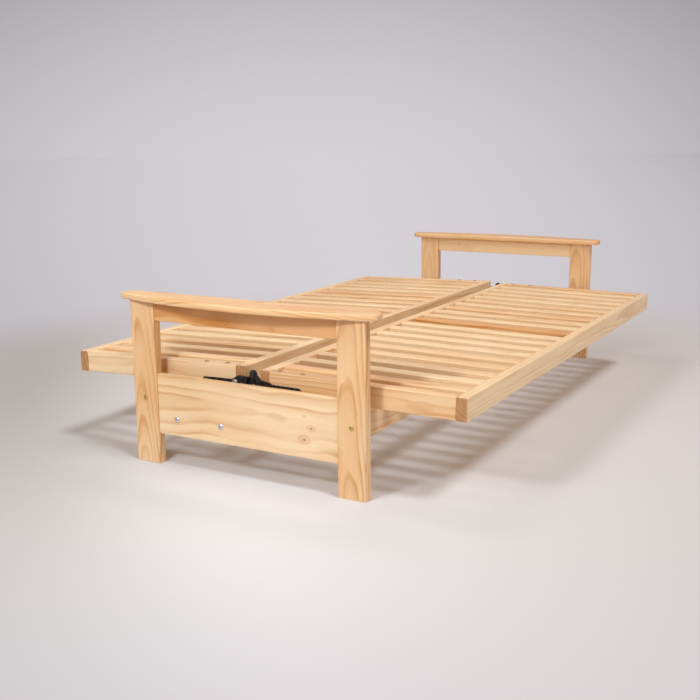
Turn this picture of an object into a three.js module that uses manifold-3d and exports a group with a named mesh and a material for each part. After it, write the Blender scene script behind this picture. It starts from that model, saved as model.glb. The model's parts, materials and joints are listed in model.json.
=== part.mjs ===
// A double sofa bed in solid pine, shown folded flat as a bed. Two slatted panels, the seat in front and the
// back behind, lie between two fixed arms. Each arm is a frame of two posts, a deep lower board, an upper rail
// and a bowed arm board, and two long stretchers tie the arms together and carry the panels. At each end a
// pressed steel click-clack hinge joins the panels: the back swings up about the pivot of a bracket that is
// bolted to the arm, and the seat folds against it about the crease pin, held by a ratchet.
// Millimetres. Z is up, X runs along the bed, the seat's front faces -Y. The origin is on the floor under the
// middle of the crease.

import * as THREE from "three";
import { mergeVertices } from "three/addons/utils/BufferGeometryUtils.js";
import Module from "manifold-3d";

const wasm = await Module();
wasm.setup();

// Slatted panels. Both are the same size and differ only in how high their arms hold them at the hinge.
const panelLength = 1900;
const panelDepth = 640;
const panelGap = 53; // between the panels' inner rails at the crease
const railThickness = 31.5;
const railHeight = 64;
const railEase = 3; // rounding of every long edge of the panel timber

// Slats, in two bays a panel, one on each side of the centre rail
const slatsPerBay = 9;
const slatWidth = 42;
const slatThickness = 20;
const slatEase = 4;
const slatSetback = 1; // slat tops below the rail tops
const endSlatGap = 41; // from an end rail to the first slat
const slatTenonLength = 10;
const slatTenonWidth = 30;
const slatTenonThickness = 11;

// Arms
const armDepth = 795; // over the outer edges of the two posts
const armAhead = 7.5; // the arms' middle stands this far in front of the crease
const sideGap = 35; // from a panel's end to the posts
const postWidth = 87;
const postThickness = 30;
const postHeight = 496.5;
const postEase = 3;
const boardThickness = 20;
const boardRecess = 5; // the boards' outer faces behind the posts' outer faces
const boardEase = 2.5;
const lowerBoardBottom = 94;
const lowerBoardHeight = 184;
const upperRailHeight = 58.5;
const boardTenonLength = 22;
const boardTenonThickness = 10;
const boardTenonShoulder = 9; // above and below the tenon

// Arm board on top of each arm, straight inside and bowed outside
const armBoardLength = 868;
const armBoardThickness = 18.5;
const armBoardInnerOverhang = 26;
const armBoardEndOverhang = 1; // outside the posts, at the ends
const armBoardBow = 57; // how much further the outer edge stands out at the middle
const armBoardInnerRadius = 38;
const armBoardOuterRadius = 12;
const armBoardEase = 4;

// Stretchers from arm to arm, in line with the posts
const stretcherThickness = 32;
const stretcherHeight = 85;
const stretcherTop = 245;
const stretcherEase = 3;

// Click-clack hinge: crease pin, pivot on the arm's bracket, and the two steel arms
const hingeHeight = 299; // of the crease pin over the floor
const pinAhead = 5.5; // of the middle of the gap between the panels
const backTopAboveHinge = 20.5;
const seatTopAboveHinge = 14;
const pivotBehind = 60; // the bracket's pivot, behind and below the crease pin
const pivotDrop = 29;
const plate = 3; // thickness of the pressed steel
const armFlangeWidth = 28; // under the end rail
const backLegHeight = 25.5; // of the back arm's upright leg against the end rail
const seatLegHeight = 29;
const armEndBeyondBolt = 11;
const armStart = 3; // from the panel's inner edge to the flange
const backBoltPlaces = [103, 179.5]; // from the crease pin along the panel
const seatBoltPlaces = [79, 156];
const headRadius = 12; // of both arms' round heads about the crease pin
const elbow = { reach: 6, drop: 20, radius: 12 }; // where the back arm turns under the pin towards the pivot
const backEarRadius = 13; // of the back arm about the bracket's pivot
const knee = { reach: 16, drop: 25, radius: 12 }; // where the seat arm turns under the pin towards the rail
const neck = { reach: 52, drop: 31.5, radius: 12 }; // where the seat arm runs into its leg
const joggleStart = 42; // from the crease pin, where the seat arm begins to step in to the rail
const joggleLength = 12;

// Ratchet: notches in the back arm's head and a pawl on the seat arm. In the bed position the pawl lies on the
// plain rim, and it comes to the last notch when the back is upright.
const notchCount = 5;
const notchDepth = 2.5;
const notchStepDegrees = 15.5;
const pawlTipDegrees = 205; // about the crease pin
const pawlPinDistance = 31;
const pawlPinDegrees = 225;
const pawlPinRadius = 3;
const pawlEyeRadius = 6;
const pawlTipRadius = 2;

// Bracket on the arm's lower board
const bracketBoltBehindPivot = 20.5; // the front bolt
const bracketBoltAheadOfPost = 68.5; // the back bolt
const bracketBoltHeight = 145;
const bracketMargin = 22; // round the bolts
const bracketShelfHeight = 212;
const bracketCorner = 10;
const bracketEarRadius = 13; // of the upright plate about the pivot
const uprightAbovePivot = 21.5;
const uprightAheadOfPivot = 42;
const uprightFrontCorner = 7;
const uprightBackCorner = 14; // where the plate's top turns down to the ear
const backCornerAheadOfPivot = 14;
const uprightFootBehindPivot = 60; // the back end of the upright plate and of the shelf under it

// Pins, bolts and their clearances
const pinRadius = 6;
const pinHeadRadius = 9;
const pinHeadHeight = 4;
const washerRadius = 9;
const boltRadius = 4;
const boltHeadRadius = 8;
const boltHeadHeight = 3;
const nutRadius = 7.5;
const nutHeight = 6.5;
const nutSides = 6;
const nutOverrun = 2; // thread that shows past the nut
const domeRadius = 9.3; // heads of the bolts through the lower board
const domeHeight = 4.2;
const capRadius = 7.5; // brass heads of the bolts into the stretchers
const capHeight = 2.4;
const capBoltRadius = 3.5;
const capBoltLength = 95;
const fit = 0.3; // gap between pieces that touch
const overrun = 5; // how far cutting tools run past what they cut

// Facets
const cornerSteps = 2;
const roundSteps = 16;
const bowSteps = 22;
const boltSides = 12;

// Sizes that follow from the ones above
const halfLength = panelLength / 2;
const postInner = halfLength + sideGap;
const postOuter = postInner + postThickness;
const boardOuter = postOuter - boardRecess;
const boardInner = boardOuter - boardThickness;
const postPlace = (armDepth - postWidth) / 2;
const postsApart = armDepth - 2 * postWidth;
const endRailMiddle = halfLength - railThickness / 2;
const degree = Math.PI / 180;

// From the crease pin to a panel's inner edge. Facing is 1 for the back panel and -1 for the seat.
const panelStart = (facing) => panelGap / 2 + facing * pinAhead;

const pine = new THREE.MeshStandardMaterial({ color: 0xe8c088, roughness: 0.55, metalness: 0 });
const palePine = new THREE.MeshStandardMaterial({ color: 0xefcd9c, roughness: 0.55, metalness: 0 });
const blackSteel = new THREE.MeshStandardMaterial({ color: 0x1c1b1a, roughness: 0.45, metalness: 0.6 });
const zinc = new THREE.MeshStandardMaterial({ color: 0xb9bcc0, roughness: 0.35, metalness: 1 });
const brass = new THREE.MeshStandardMaterial({ color: 0xc79a4b, roughness: 0.35, metalness: 1 });

// A three.js geometry as a manifold solid, moved by the matrix if there is one.
function solid(geometry, matrix) {
  const bare = new THREE.BufferGeometry();
  bare.setAttribute("position", geometry.getAttribute("position"));
  bare.setIndex(geometry.index);
  if (matrix) bare.applyMatrix4(matrix);
  const merged = mergeVertices(bare, 1e-4);
  const triVerts = new Uint32Array(merged.index.array);
  return new wasm.Manifold(new wasm.Mesh({ numProp: 3, vertProperties: merged.attributes.position.array, triVerts }));
}

const join = (...solids) => solids.reduce((whole, part) => whole.add(part));
const cut = (whole, ...tools) => tools.reduce((left, tool) => left.subtract(tool), whole);

// A named mesh from a manifold solid.
function piece(name, body, material) {
  const { vertProperties, triVerts, numProp } = body.getMesh();
  const geometry = new THREE.BufferGeometry();
  geometry.setAttribute("position", new THREE.BufferAttribute(new Float32Array(vertProperties), numProp));
  geometry.setIndex(new THREE.BufferAttribute(new Uint32Array(triVerts), 1));
  geometry.computeVertexNormals();
  const mesh = new THREE.Mesh(geometry, material);
  mesh.name = name;
  return mesh;
}

// Points of an arc about (x, y), both ends included, angles in degrees.
function arc(x, y, radius, from, to, steps) {
  const points = [];
  for (let i = 0; i <= steps; i++) {
    const angle = (from + ((to - from) * i) / steps) * degree;
    points.push(new THREE.Vector2(x + radius * Math.cos(angle), y + radius * Math.sin(angle)));
  }
  return points;
}

// Outline of a rectangle about the origin with rounded corners.
function roundedRectangle(width, height, radius) {
  const x = width / 2 - radius;
  const y = height / 2 - radius;
  return [
    ...arc(x, y, radius, 0, 90, cornerSteps),
    ...arc(-x, y, radius, 90, 180, cornerSteps),
    ...arc(-x, -y, radius, 180, 270, cornerSteps),
    ...arc(x, -y, radius, 270, 360, cornerSteps),
  ];
}

// Where the line that touches two circles leaves them, on the left of the way from the first to the second, in
// degrees round either circle.
function touch(ax, ay, ar, bx, by, br) {
  return (Math.atan2(by - ay, bx - ax) + Math.acos((ar - br) / Math.hypot(bx - ax, by - ay))) / degree;
}

// Outline of the belt round two circles: the shape that two round eyes and the strap between them make.
function belt(ax, ay, ar, bx, by, br, steps) {
  const leave = touch(ax, ay, ar, bx, by, br);
  const meet = 2 * (Math.atan2(by - ay, bx - ax) / degree) - leave;
  return [
    ...arc(ax, ay, ar, leave, meet + 360, steps),
    ...arc(bx, by, br, meet, leave, steps),
  ];
}

const extrude = (points, depth) =>
  new THREE.ExtrudeGeometry(new THREE.Shape(points), { depth, bevelEnabled: false });

// The three ways an outline is extruded: along X from an outline in (y, z), along Y from (x, z), along Z from (x, y).
const alongX = new THREE.Matrix4().makeBasis(
  new THREE.Vector3(0, 1, 0), new THREE.Vector3(0, 0, 1), new THREE.Vector3(1, 0, 0));
const alongY = new THREE.Matrix4().makeBasis(
  new THREE.Vector3(-1, 0, 0), new THREE.Vector3(0, 0, 1), new THREE.Vector3(0, 1, 0));

function placed(x, y, z, basis) {
  const matrix = new THREE.Matrix4().makeTranslation(x, y, z);
  return basis ? matrix.multiply(basis) : matrix;
}

// Timber with eased long edges, its middle at (x, y, z).
const barX = (length, width, height, ease, x, y, z) =>
  solid(extrude(roundedRectangle(width, height, ease), length), placed(x - length / 2, y, z, alongX));
const barY = (length, width, height, ease, x, y, z) =>
  solid(extrude(roundedRectangle(width, height, ease), length), placed(x, y - length / 2, z, alongY));
const barZ = (length, width, depth, ease, x, y, z) =>
  solid(extrude(roundedRectangle(width, depth, ease), length), placed(x, y, z - length / 2));

const block = (width, depth, height, x, y, z) =>
  solid(new THREE.BoxGeometry(width, depth, height), placed(x, y, z));

// A plate with its outline in (y, z), from one distance outside the middle of the bed to another, on one side.
function sidePlate(side, points, from, to) {
  const start = side > 0 ? from : -to;
  return solid(extrude(points, to - from), placed(start, 0, 0, alongX));
}

// A turned piece about the line through (y, z) along X. Its profile is pairs of distance outward and radius.
function turned(side, y, z, profile, sides) {
  const points = profile.map(([out, radius]) => new THREE.Vector2(radius, out));
  const lathe = new THREE.LatheGeometry(points, sides);
  const turn = new THREE.Matrix4().makeRotationZ(-side * Math.PI / 2);
  return solid(lathe, placed(0, y, z, turn));
}

// A round hole or shank along X between two distances outward.
const roundX = (side, y, z, radius, from, to, sides) =>
  turned(side, y, z, [[from, 0], [from, radius], [to, radius], [to, 0]], sides);

// The same along Z, about (x, y).
function roundZ(x, y, radius, from, to, sides) {
  const points = [[0, from], [radius, from], [radius, to], [0, to]].map(([r, z]) => new THREE.Vector2(r, z));
  const upright = new THREE.Matrix4().makeRotationX(Math.PI / 2);
  return solid(new THREE.LatheGeometry(points, sides), placed(x, y, 0, upright));
}

// Slats: the place of each slat's middle along the bed, left to right, the same in both panels.
const bayLength = halfLength - railThickness - railThickness / 2;
const slatGap = (bayLength - endSlatGap - slatsPerBay * slatWidth) / slatsPerBay;
const slatPlaces = [];
for (let i = 0; i < slatsPerBay; i++) {
  slatPlaces.push(halfLength - railThickness - endSlatGap - slatWidth / 2 - i * (slatWidth + slatGap));
}
slatPlaces.push(...slatPlaces.map((x) => -x));
slatPlaces.sort((a, b) => a - b);

// One slat with a stub tenon at each end, or run into the outer rail where it is part of it.
function slat(facing, top, x, intoOuterRail) {
  const z = top - slatSetback - slatThickness / 2;
  const shoulder = panelDepth - 2 * railThickness - 2 * fit;
  const middle = facing * (panelStart(facing) + panelDepth / 2);
  const inward = -facing * (shoulder / 2 + (slatTenonLength - fit) / 2);
  const tenonY = middle + inward;
  const body = barY(shoulder, slatWidth, slatThickness, slatEase, x, middle, z);
  const tenon = (y) => block(slatTenonWidth, slatTenonLength, slatTenonThickness, x, y, z);
  if (!intoOuterRail) return join(body, tenon(tenonY), tenon(middle - inward));
  const reach = fit + slatTenonLength;
  const end = middle + facing * (shoulder / 2 + reach / 2 - overrun / 2);
  const root = barY(reach + overrun, slatWidth, slatThickness, slatEase, x, end, z);
  return join(body, tenon(tenonY), root);
}

// The mortises that one long rail has for the slats' tenons; the rail's inside faces the panel's middle.
function slatMortises(facing, top, insideFace, into) {
  const z = top - slatSetback - slatThickness / 2;
  const depth = slatTenonLength + overrun;
  const y = insideFace + into * (slatTenonLength + fit - depth / 2);
  return slatPlaces.map((x) => block(slatTenonWidth + 2 * fit, depth, slatTenonThickness + 2 * fit, x, y, z));
}

// A slatted panel, placed from the crease pin.
function panel(name, facing, top, boltPlaces, slatsApart) {
  const z = top - railHeight / 2;
  const start = panelStart(facing);
  const inner = facing * (start + railThickness / 2);
  const outer = facing * (start + panelDepth - railThickness / 2);
  const middle = facing * (start + panelDepth / 2);
  const between = panelDepth - 2 * railThickness - 2 * fit;
  const innerFace = facing * (start + railThickness);
  const outerFace = facing * (start + panelDepth - railThickness);
  const meshes = [];

  const innerRail = barX(panelLength, railThickness, railHeight, railEase, 0, inner, z);
  meshes.push(piece(`${name}_inner_rail`, cut(innerRail, ...slatMortises(facing, top, innerFace, -facing)), pine));

  const outerRail = barX(panelLength, railThickness, railHeight, railEase, 0, outer, z);
  if (slatsApart) {
    meshes.push(piece(`${name}_outer_rail`, cut(outerRail, ...slatMortises(facing, top, outerFace, facing)), pine));
    slatPlaces.forEach((x, i) => {
      const label = String(i + 1).padStart(2, "0");
      meshes.push(piece(`${name}_slat_${label}`, slat(facing, top, x, false), palePine));
    });
  } else {
    const slats = slatPlaces.map((x) => slat(facing, top, x, true));
    meshes.push(piece(`${name}_outer_rail_with_slats`, join(outerRail, ...slats), pine));
  }

  for (const [label, side] of [["left", -1], ["right", 1]]) {
    const rail = barY(between, railThickness, railHeight, railEase, side * endRailMiddle, middle, z);
    const holes = boltPlaces.map((place) => roundZ(side * endRailMiddle, facing * place, boltRadius + fit,
      top - railHeight - overrun, top + overrun, boltSides));
    meshes.push(piece(`${name}_${label}_end_rail`, cut(rail, ...holes), pine));
  }
  const centreRail = barY(between, railThickness, railHeight, railEase, 0, middle, z);
  meshes.push(piece(`${name}_centre_rail`, centreRail, pine));
  return meshes;
}

// The bolt that clamps a steel arm under an end rail, fused with the arm.
function armBolt(x, y, top, flangeBottom) {
  return join(
    roundZ(x, y, boltRadius, flangeBottom - nutHeight - nutOverrun, top + fit + boltHeadHeight, boltSides),
    roundZ(x, y, boltHeadRadius, top + fit, top + fit + boltHeadHeight, boltSides),
    roundZ(x, y, nutRadius, flangeBottom - nutHeight, flangeBottom, nutSides),
  );
}

// The flange under an end rail and the two bolts through it.
function armFlange(side, facing, top, places) {
  const flangeTop = top - railHeight - fit;
  const reach = places[1] + armEndBeyondBolt;
  const start = panelStart(facing) + armStart;
  const outer = halfLength + fit + plate;
  const strip = block(armFlangeWidth, reach - start, plate,
    side * (outer - armFlangeWidth / 2), facing * (start + reach) / 2, flangeTop - plate / 2);
  const bolts = places.map((y) => armBolt(side * endRailMiddle, facing * y, top, flangeTop - plate));
  return join(strip, ...bolts);
}

// The upright strip of a steel arm, in (y, z), from a start to the arm's end, with its top corner cut off.
function armStrip(facing, start, top, places, legHeight) {
  const bottom = top - railHeight - fit - plate;
  const legTop = bottom + legHeight;
  const reach = places[1] + armEndBeyondBolt;
  const chamfer = legHeight / 2;
  const points = [
    [start, bottom],
    [reach, bottom],
    [reach, legTop - chamfer],
    [reach - chamfer, legTop],
    [start, legTop],
  ].map(([y, z]) => new THREE.Vector2(facing * y, z));
  return facing > 0 ? points : points.reverse();
}

// Notches in the round head, each a tooth's gap with one steep side.
function notches(side) {
  const from = halfLength + fit;
  const tools = [];
  for (let i = 0; i < notchCount; i++) {
    const at = (pawlTipDegrees - (i + 1) * notchStepDegrees) * degree;
    const rim = headRadius + overrun;
    const root = headRadius - notchDepth;
    const half = (notchStepDegrees * degree) / 3;
    const steep = at - half / 2;
    const points = [
      new THREE.Vector2(root * Math.cos(steep), root * Math.sin(steep)),
      new THREE.Vector2(rim * Math.cos(steep), rim * Math.sin(steep)),
      new THREE.Vector2(rim * Math.cos(at + 2 * half), rim * Math.sin(at + 2 * half)),
    ];
    tools.push(sidePlate(side, points, from - overrun, from + plate + overrun));
  }
  return tools;
}

// The back's steel arm: an angle under the end rail, a notched head on the crease pin and an ear on the pivot.
function backArm(side, pivotY, pivotZ) {
  const from = halfLength + fit;
  const to = from + plate;
  const plates = join(
    sidePlate(side, belt(0, 0, headRadius, elbow.reach, -elbow.drop, elbow.radius, roundSteps), from, to),
    sidePlate(side, belt(elbow.reach, -elbow.drop, elbow.radius, pivotY, pivotZ, backEarRadius, roundSteps), from, to),
    sidePlate(side, armStrip(1, panelStart(1) + armStart, backTopAboveHinge, backBoltPlaces, backLegHeight), from, to),
    armFlange(side, 1, backTopAboveHinge, backBoltPlaces),
  );
  const holes = [[0, 0], [pivotY, pivotZ]].map(([y, z]) =>
    roundX(side, y, z, pinRadius + fit, from - overrun, to + overrun, roundSteps));
  return cut(plates, ...notches(side), ...holes);
}

// The seat's steel arm: its head lies outside the back arm's head, and it steps in to the end rail beyond it.
function seatArm(side) {
  const inner = halfLength + fit;
  const stepped = inner + plate + fit;
  const outline = join(
    sidePlate(side, belt(0, 0, headRadius, -knee.reach, -knee.drop, knee.radius, roundSteps), inner, stepped + plate),
    sidePlate(side, belt(-knee.reach, -knee.drop, knee.radius, -neck.reach, -neck.drop, neck.radius, roundSteps),
      inner, stepped + plate),
    sidePlate(side, armStrip(-1, joggleStart, seatTopAboveHinge, seatBoltPlaces, seatLegHeight),
      inner, stepped + plate),
  );
  const reach = seatBoltPlaces[1] + armEndBeyondBolt + overrun;
  const plan = [
    [stepped, headRadius + overrun],
    [stepped, -joggleStart],
    [inner, -joggleStart - joggleLength],
    [inner, -reach],
    [inner + plate, -reach],
    [inner + plate, -joggleStart - joggleLength],
    [stepped + plate, -joggleStart],
    [stepped + plate, headRadius + overrun],
  ].map(([out, y]) => new THREE.Vector2(side * out, y));
  if (side < 0) plan.reverse();
  const height = 2 * railHeight;
  const joggled = outline.intersect(solid(extrude(plan, height), placed(0, 0, -height / 2)));
  const flange = armFlange(side, -1, seatTopAboveHinge, seatBoltPlaces);
  const pawlPin = roundX(side, ...pawlPinPlace(), pawlPinRadius, inner, stepped + plate / 2, boltSides);
  const hole = roundX(side, 0, 0, pinRadius + fit, inner - overrun, stepped + plate + overrun, roundSteps);
  return cut(join(joggled, flange, pawlPin), hole);
}

const pawlPinPlace = () => [
  pawlPinDistance * Math.cos(pawlPinDegrees * degree),
  pawlPinDistance * Math.sin(pawlPinDegrees * degree),
];

// The pawl, between the end rail and the seat arm, its tip on the rim of the back arm's head.
function pawl(side) {
  const from = halfLength + fit;
  const [eyeY, eyeZ] = pawlPinPlace();
  const tipAt = headRadius + fit + pawlTipRadius;
  const tipY = tipAt * Math.cos(pawlTipDegrees * degree);
  const tipZ = tipAt * Math.sin(pawlTipDegrees * degree);
  const finger = sidePlate(side, belt(eyeY, eyeZ, pawlEyeRadius, tipY, tipZ, pawlTipRadius, roundSteps / 2),
    from, from + plate);
  return cut(finger, roundX(side, eyeY, eyeZ, pawlPinRadius + fit, from - overrun, from + plate + overrun, boltSides));
}

// The crease pin, riveted over at both ends.
function creasePin(side) {
  const inner = halfLength - fit;
  const outer = halfLength + 3 * fit + 2 * plate + fit;
  return turned(side, 0, 0, [
    [inner - pinHeadHeight, 0],
    [inner - pinHeadHeight, pinHeadRadius - pinHeadHeight / 2],
    [inner - pinHeadHeight / 2, pinHeadRadius],
    [inner, pinHeadRadius],
    [inner, pinRadius],
    [outer, pinRadius],
    [outer, pinHeadRadius],
    [outer + pinHeadHeight / 2, pinHeadRadius],
    [outer + pinHeadHeight, pinHeadRadius - pinHeadHeight / 2],
    [outer + pinHeadHeight, 0],
  ], roundSteps);
}

// Where the bracket's upright plate lies, outside both steel arms.
const earInner = halfLength + 4 * fit + 2 * plate;

// The bracket's pivot in the bed's own frame.
const pivotPlace = pivotBehind - pinAhead;
const pivotHeight = hingeHeight - pivotDrop;

// The bracket's two bolts through the lower board, one behind the pivot and one ahead of the back post.
const bracketBoltPlaces = [
  pivotPlace + bracketBoltBehindPivot,
  armDepth / 2 - armAhead - postWidth - bracketBoltAheadOfPost,
];

// The pivot pin: flush in the back arm, a washer between it and the bracket's ear, and a riveted head outside.
function pivotPin(side) {
  const washerFrom = halfLength + 2 * fit + plate;
  const washerTo = earInner - fit;
  const headFrom = earInner + plate + fit;
  return turned(side, pivotPlace, pivotHeight, [
    [halfLength + fit, 0],
    [halfLength + fit, pinRadius],
    [washerFrom, pinRadius],
    [washerFrom, washerRadius],
    [washerTo, washerRadius],
    [washerTo, pinRadius],
    [headFrom, pinRadius],
    [headFrom, pinHeadRadius],
    [headFrom + pinHeadHeight / 2, pinHeadRadius],
    [headFrom + pinHeadHeight, pinHeadRadius - pinHeadHeight / 2],
    [headFrom + pinHeadHeight, 0],
  ], roundSteps);
}

// The bracket: a foot bolted to the lower board, a shelf, and an upright plate that rises to the pivot's ear. The
// plate's top is flat ahead of the pivot and turns down round the ear to the shelf.
function bracket(side) {
  const outer = boardInner - fit;
  const near = bracketBoltPlaces[0] - bracketMargin;
  const far = bracketBoltPlaces[1] + bracketMargin;
  const bottom = bracketBoltHeight - bracketMargin;
  const shelfBottom = bracketShelfHeight - plate;
  const foot = [
    ...arc(near + bracketCorner, bottom + bracketCorner, bracketCorner, 180, 270, cornerSteps),
    ...arc(far - bracketCorner, bottom + bracketCorner, bracketCorner, 270, 360, cornerSteps),
    ...arc(far - bracketCorner, bracketShelfHeight - bracketCorner, bracketCorner, 0, 90, cornerSteps),
    new THREE.Vector2(near, bracketShelfHeight),
  ];
  const uprightFar = pivotPlace + uprightFootBehindPivot;
  const backCornerY = pivotPlace - backCornerAheadOfPivot;
  const backCornerZ = pivotHeight + uprightAbovePivot - uprightBackCorner;
  const frontCornerY = pivotPlace - uprightAheadOfPivot + uprightFrontCorner;
  const frontCornerZ = pivotHeight + uprightAbovePivot - uprightFrontCorner;
  const cornerEnd = touch(backCornerY, backCornerZ, uprightBackCorner, pivotPlace, pivotHeight, bracketEarRadius);
  const earEnd = touch(pivotPlace, pivotHeight, bracketEarRadius, uprightFar, bracketShelfHeight, 0);
  const upright = [
    new THREE.Vector2(near, shelfBottom),
    new THREE.Vector2(uprightFar, shelfBottom),
    new THREE.Vector2(uprightFar, bracketShelfHeight),
    ...arc(pivotPlace, pivotHeight, bracketEarRadius, earEnd, cornerEnd, cornerSteps),
    ...arc(backCornerY, backCornerZ, uprightBackCorner, cornerEnd, 90, cornerSteps),
    ...arc(frontCornerY, frontCornerZ, uprightFrontCorner, 90, 180, cornerSteps),
    new THREE.Vector2(frontCornerY - uprightFrontCorner, pivotHeight),
  ];
  const body = join(
    sidePlate(side, foot, outer - plate, outer),
    sidePlate(side, upright, earInner, earInner + plate),
    block(outer - earInner, uprightFar - near, plate, side * (outer + earInner) / 2, (near + uprightFar) / 2,
      bracketShelfHeight - plate / 2),
  );
  const boltHoles = bracketBoltPlaces.map((y) =>
    roundX(side, y, bracketBoltHeight, boltRadius + fit, outer - plate - overrun, outer + overrun, boltSides));
  const pivotHole = roundX(side, pivotPlace, pivotHeight, pinRadius + fit, earInner - overrun,
    earInner + plate + overrun, roundSteps);
  return cut(body, pivotHole, ...boltHoles);
}

// A bolt through the lower board with a domed head outside and a nut on the bracket inside.
function bracketBolt(side, y) {
  const nutFrom = boardInner - 2 * fit - plate - nutHeight;
  const head = boardOuter + fit;
  return join(
    turned(side, y, bracketBoltHeight, [
      [nutFrom - nutOverrun, 0],
      [nutFrom - nutOverrun, boltRadius],
      [head, boltRadius],
      [head, domeRadius],
      [head + domeHeight / 3, domeRadius],
      [head + (2 * domeHeight) / 3, domeRadius - domeHeight / 3],
      [head + domeHeight, domeRadius / 2],
      [head + domeHeight, 0],
    ], roundSteps),
    roundX(side, y, bracketBoltHeight, nutRadius, nutFrom, nutFrom + nutHeight, nutSides),
  );
}

const stretcherMiddle = stretcherTop - stretcherHeight / 2;

// A brass-headed bolt through a post into the end of a stretcher.
function stretcherBolt(side, y) {
  const head = postOuter + fit;
  return turned(side, y, stretcherMiddle, [
    [head - capBoltLength, 0],
    [head - capBoltLength, capBoltRadius],
    [head, capBoltRadius],
    [head, capRadius],
    [head + capHeight / 2, capRadius],
    [head + capHeight, capRadius - capHeight / 2],
    [head + capHeight, 0],
  ], roundSteps);
}

// A board between the two posts of an arm, with a stub tenon at each end.
function armRail(side, bottom, height) {
  const x = side * (boardInner + boardThickness / 2);
  const length = postsApart - 2 * fit;
  const z = bottom + height / 2;
  return join(
    barY(length, boardThickness, height, boardEase, x, -armAhead, z),
    block(boardTenonThickness, length + 2 * boardTenonLength, height - 2 * boardTenonShoulder, x, -armAhead, z),
  );
}

// The mortise that a post has for such a tenon.
function armMortise(side, facing, bottom, height) {
  const depth = boardTenonLength + fit + overrun;
  const face = -armAhead + facing * (postsApart / 2);
  return block(boardTenonThickness + 2 * fit, depth, height - 2 * boardTenonShoulder + 2 * fit,
    side * (boardInner + boardThickness / 2), face + facing * (depth / 2 - overrun), bottom + height / 2);
}

// A post, mortised for both boards and bored for the stretcher's bolt.
function post(side, facing) {
  const y = -armAhead + facing * postPlace;
  const timber = barZ(postHeight, postThickness, postWidth, postEase,
    side * (postInner + postThickness / 2), y, postHeight / 2);
  return cut(timber,
    armMortise(side, facing, lowerBoardBottom, lowerBoardHeight),
    armMortise(side, facing, postHeight - upperRailHeight, upperRailHeight),
    roundX(side, y, stretcherMiddle, capBoltRadius + fit, postInner - overrun, postOuter + overrun, boltSides));
}

// The arm board's outline in (outward, y): straight inside, an arc of a large circle outside, rounded corners.
function armBoardOutline() {
  const half = armBoardLength / 2;
  const inside = postInner - armBoardInnerOverhang;
  const middle = postOuter + armBoardEndOverhang + armBoardBow;
  const bow = (half * half + armBoardBow * armBoardBow) / (2 * armBoardBow);
  const centre = middle - bow;
  const corner = bow - armBoardOuterRadius;
  const angle = Math.asin((half - armBoardOuterRadius) / corner) / degree;
  const cornerX = centre + corner * Math.cos(angle * degree);
  const cornerY = corner * Math.sin(angle * degree);
  const innerX = inside + armBoardInnerRadius;
  const innerY = half - armBoardInnerRadius;
  return [
    ...arc(centre, 0, bow, -angle, angle, bowSteps),
    ...arc(cornerX, cornerY, armBoardOuterRadius, angle, 90, 2 * cornerSteps).slice(1),
    ...arc(innerX, innerY, armBoardInnerRadius, 90, 180, 3 * cornerSteps),
    ...arc(innerX, -innerY, armBoardInnerRadius, 180, 270, 3 * cornerSteps),
    ...arc(cornerX, -cornerY, armBoardOuterRadius, 270, 360 - angle, 2 * cornerSteps).slice(0, -1),
  ];
}

function armBoard(side) {
  const outline = armBoardOutline().map((point) => new THREE.Vector2(side * point.x, point.y - armAhead));
  if (side < 0) outline.reverse();
  const shape = new THREE.ExtrudeGeometry(new THREE.Shape(outline), {
    depth: armBoardThickness - 2 * armBoardEase,
    bevelThickness: armBoardEase,
    bevelSize: armBoardEase,
    bevelOffset: -armBoardEase,
    bevelSegments: cornerSteps,
  });
  return solid(shape, placed(0, 0, postHeight + fit + armBoardEase));
}

function stretcher(facing) {
  const length = 2 * (postInner - fit);
  const y = -armAhead + facing * postPlace;
  const timber = barX(length, stretcherThickness, stretcherHeight, stretcherEase, 0, y, stretcherMiddle);
  const bores = [-1, 1].map((side) => roundX(side, y, stretcherMiddle, capBoltRadius + fit,
    postOuter - capBoltLength - overrun, postInner + overrun, boltSides));
  return cut(timber, ...bores);
}

// How far a panel droops from the crease pin until its underside rests on its stretcher's outer edge.
function droop(facing, top) {
  const underside = railHeight - top;
  const edge = postPlace - facing * (armAhead - pinAhead) + stretcherThickness / 2;
  const fall = hingeHeight - stretcherTop - fit;
  const reach = Math.hypot(edge, fall);
  return Math.asin(fall / reach) - Math.asin(underside / reach);
}

const sofaBed = new THREE.Group();
sofaBed.name = "sofa_bed";

const backDroop = droop(1, backTopAboveHinge);
const back = new THREE.Group();
back.position.set(0, -pinAhead, hingeHeight);
back.rotation.x = -backDroop;
back.add(...panel("back", 1, backTopAboveHinge, backBoltPlaces, false));

const seat = new THREE.Group();
seat.position.set(0, -pinAhead, hingeHeight);
seat.rotation.x = droop(-1, seatTopAboveHinge);
seat.add(...panel("seat", -1, seatTopAboveHinge, seatBoltPlaces, true));

// The pivot as the drooping back sees it.
const pivotY = pivotBehind * Math.cos(backDroop) + pivotDrop * Math.sin(backDroop);
const pivotZ = pivotBehind * Math.sin(backDroop) - pivotDrop * Math.cos(backDroop);

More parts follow.
